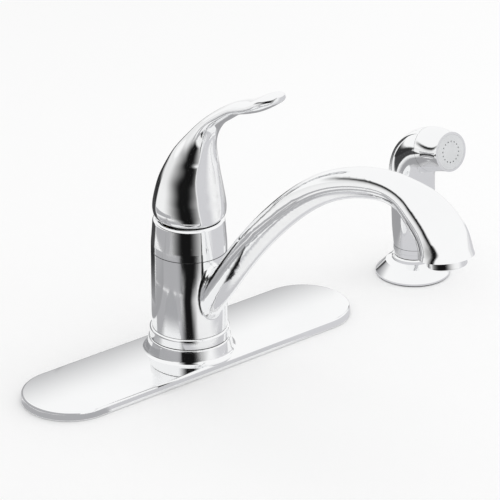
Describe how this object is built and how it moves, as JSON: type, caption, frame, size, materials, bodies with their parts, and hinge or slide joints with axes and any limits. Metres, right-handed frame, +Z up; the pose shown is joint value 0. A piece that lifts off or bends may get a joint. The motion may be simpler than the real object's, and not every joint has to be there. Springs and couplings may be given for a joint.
{
  "type": "side spray kitchen faucet",
  "caption": "Chrome single-lever kitchen faucet with a low arched swing spout, a long rounded deck plate and a separate side spray in its holder.",
  "frame": {"origin": "on the deck surface, under the middle of the valve body", "axes": "+Z up, +X along the deck plate towards the side spray, -Y towards the user along the spout at rest"},
  "size_m": [0.3624, 0.296, 0.2849],
  "materials": {
    "chrome": "polished",
    "brass": "machined",
    "steel": "brushed",
    "zinc": "cast",
    "rubber": "matte",
    "foam": "matte",
    "white_plastic": "matte",
    "black_plastic": "matte",
    "grey_plastic": "satin"
  },
  "bodies": {
    "root": {"deck_plate": "chrome", "deck_gasket": "foam", "plate_studs": "steel", "plate_washers": "steel", "plate_wing_nuts": "black_plastic", "valve_body": "brass", "base_seal": "rubber", "base_ring": "chrome", "lower_glide_ring": "white_plastic", "upper_glide_ring": "rubber", "spout_seals": "rubber", "mounting_washer": "steel", "mounting_nut": "brass", "spray_outlet_nipple": "brass", "bonnet_ring": "chrome", "retainer_nut": "brass", "diverter": "black_plastic", "cartridge_sleeve": "white_plastic", "cartridge_seals": "rubber", "carrier_clip": "steel", "spray_holder": "chrome", "holder_gasket": "rubber", "holder_washer": "steel", "holder_nut": "black_plastic"},
    "swing_spout": {"spout": "chrome", "aerator_housing": "chrome", "aerator_insert": "white_plastic", "aerator_screen": "steel", "aerator_washer": "rubber"},
    "turning_carrier": {"pivot_carrier": "zinc"},
    "handle": {"lever_handle": "chrome", "handle_bracket": "zinc", "handle_set_screw": "steel", "pivot_pin": "steel"},
    "stem": {"cartridge_stem": "brass", "stem_pin": "steel"},
    "spray_wand": {"spray_body": "chrome", "spray_head_shell": "chrome", "spray_face": "grey_plastic", "spray_collar": "chrome", "hose_connector": "white_plastic", "trigger_pin": "steel", "plunger_spring": "steel"},
    "trigger": {"spray_trigger": "chrome"},
    "plunger": {"spray_plunger": "white_plastic"}
  },
  "joints": [
    {"name": "spout_swing", "type": "hinge", "parent": "root", "child": "swing_spout", "pos_m": [0, 0, 0.052], "axis": [0, 0, 1], "range_deg": [-90, 90]},
    {"name": "temperature_turn", "type": "hinge", "parent": "root", "child": "turning_carrier", "pos_m": [0, 0, 0.1], "axis": [0, 0, 1], "range_deg": [-50, 50]},
    {"name": "lever_lift", "type": "hinge", "parent": "turning_carrier", "child": "handle", "pos_m": [0, 0.016, 0.1045], "axis": [-1, 0, 0], "range_deg": [0, 18]},
    {"name": "stem_lift", "type": "slide", "parent": "turning_carrier", "child": "stem", "axis": [0, 0, 1], "range_m": [0, 0.0056]},
    {"name": "spray_lift", "type": "slide", "parent": "root", "child": "spray_wand", "axis": [0, 0, 1], "range_m": [0, 0.05]},
    {"name": "trigger_press", "type": "hinge", "parent": "spray_wand", "child": "trigger", "pos_m": [0.2032, -0.00576, 0.10684], "axis": [-1, 0, 0], "range_deg": [0, 4], "stiffness_Nm_per_rad": 0.6},
    {"name": "plunger_push", "type": "slide", "parent": "spray_wand", "child": "plunger", "axis": [0, -0.9397, -0.342], "range_m": [0, 0.00181]}
  ],
  "couplings": [
    {"joint": "stem_lift", "follows": "lever_lift", "m_per_rad": 0.0175},
    {"joint": "plunger_push", "follows": "trigger_press", "m_per_rad": 0.02443}
  ]
}
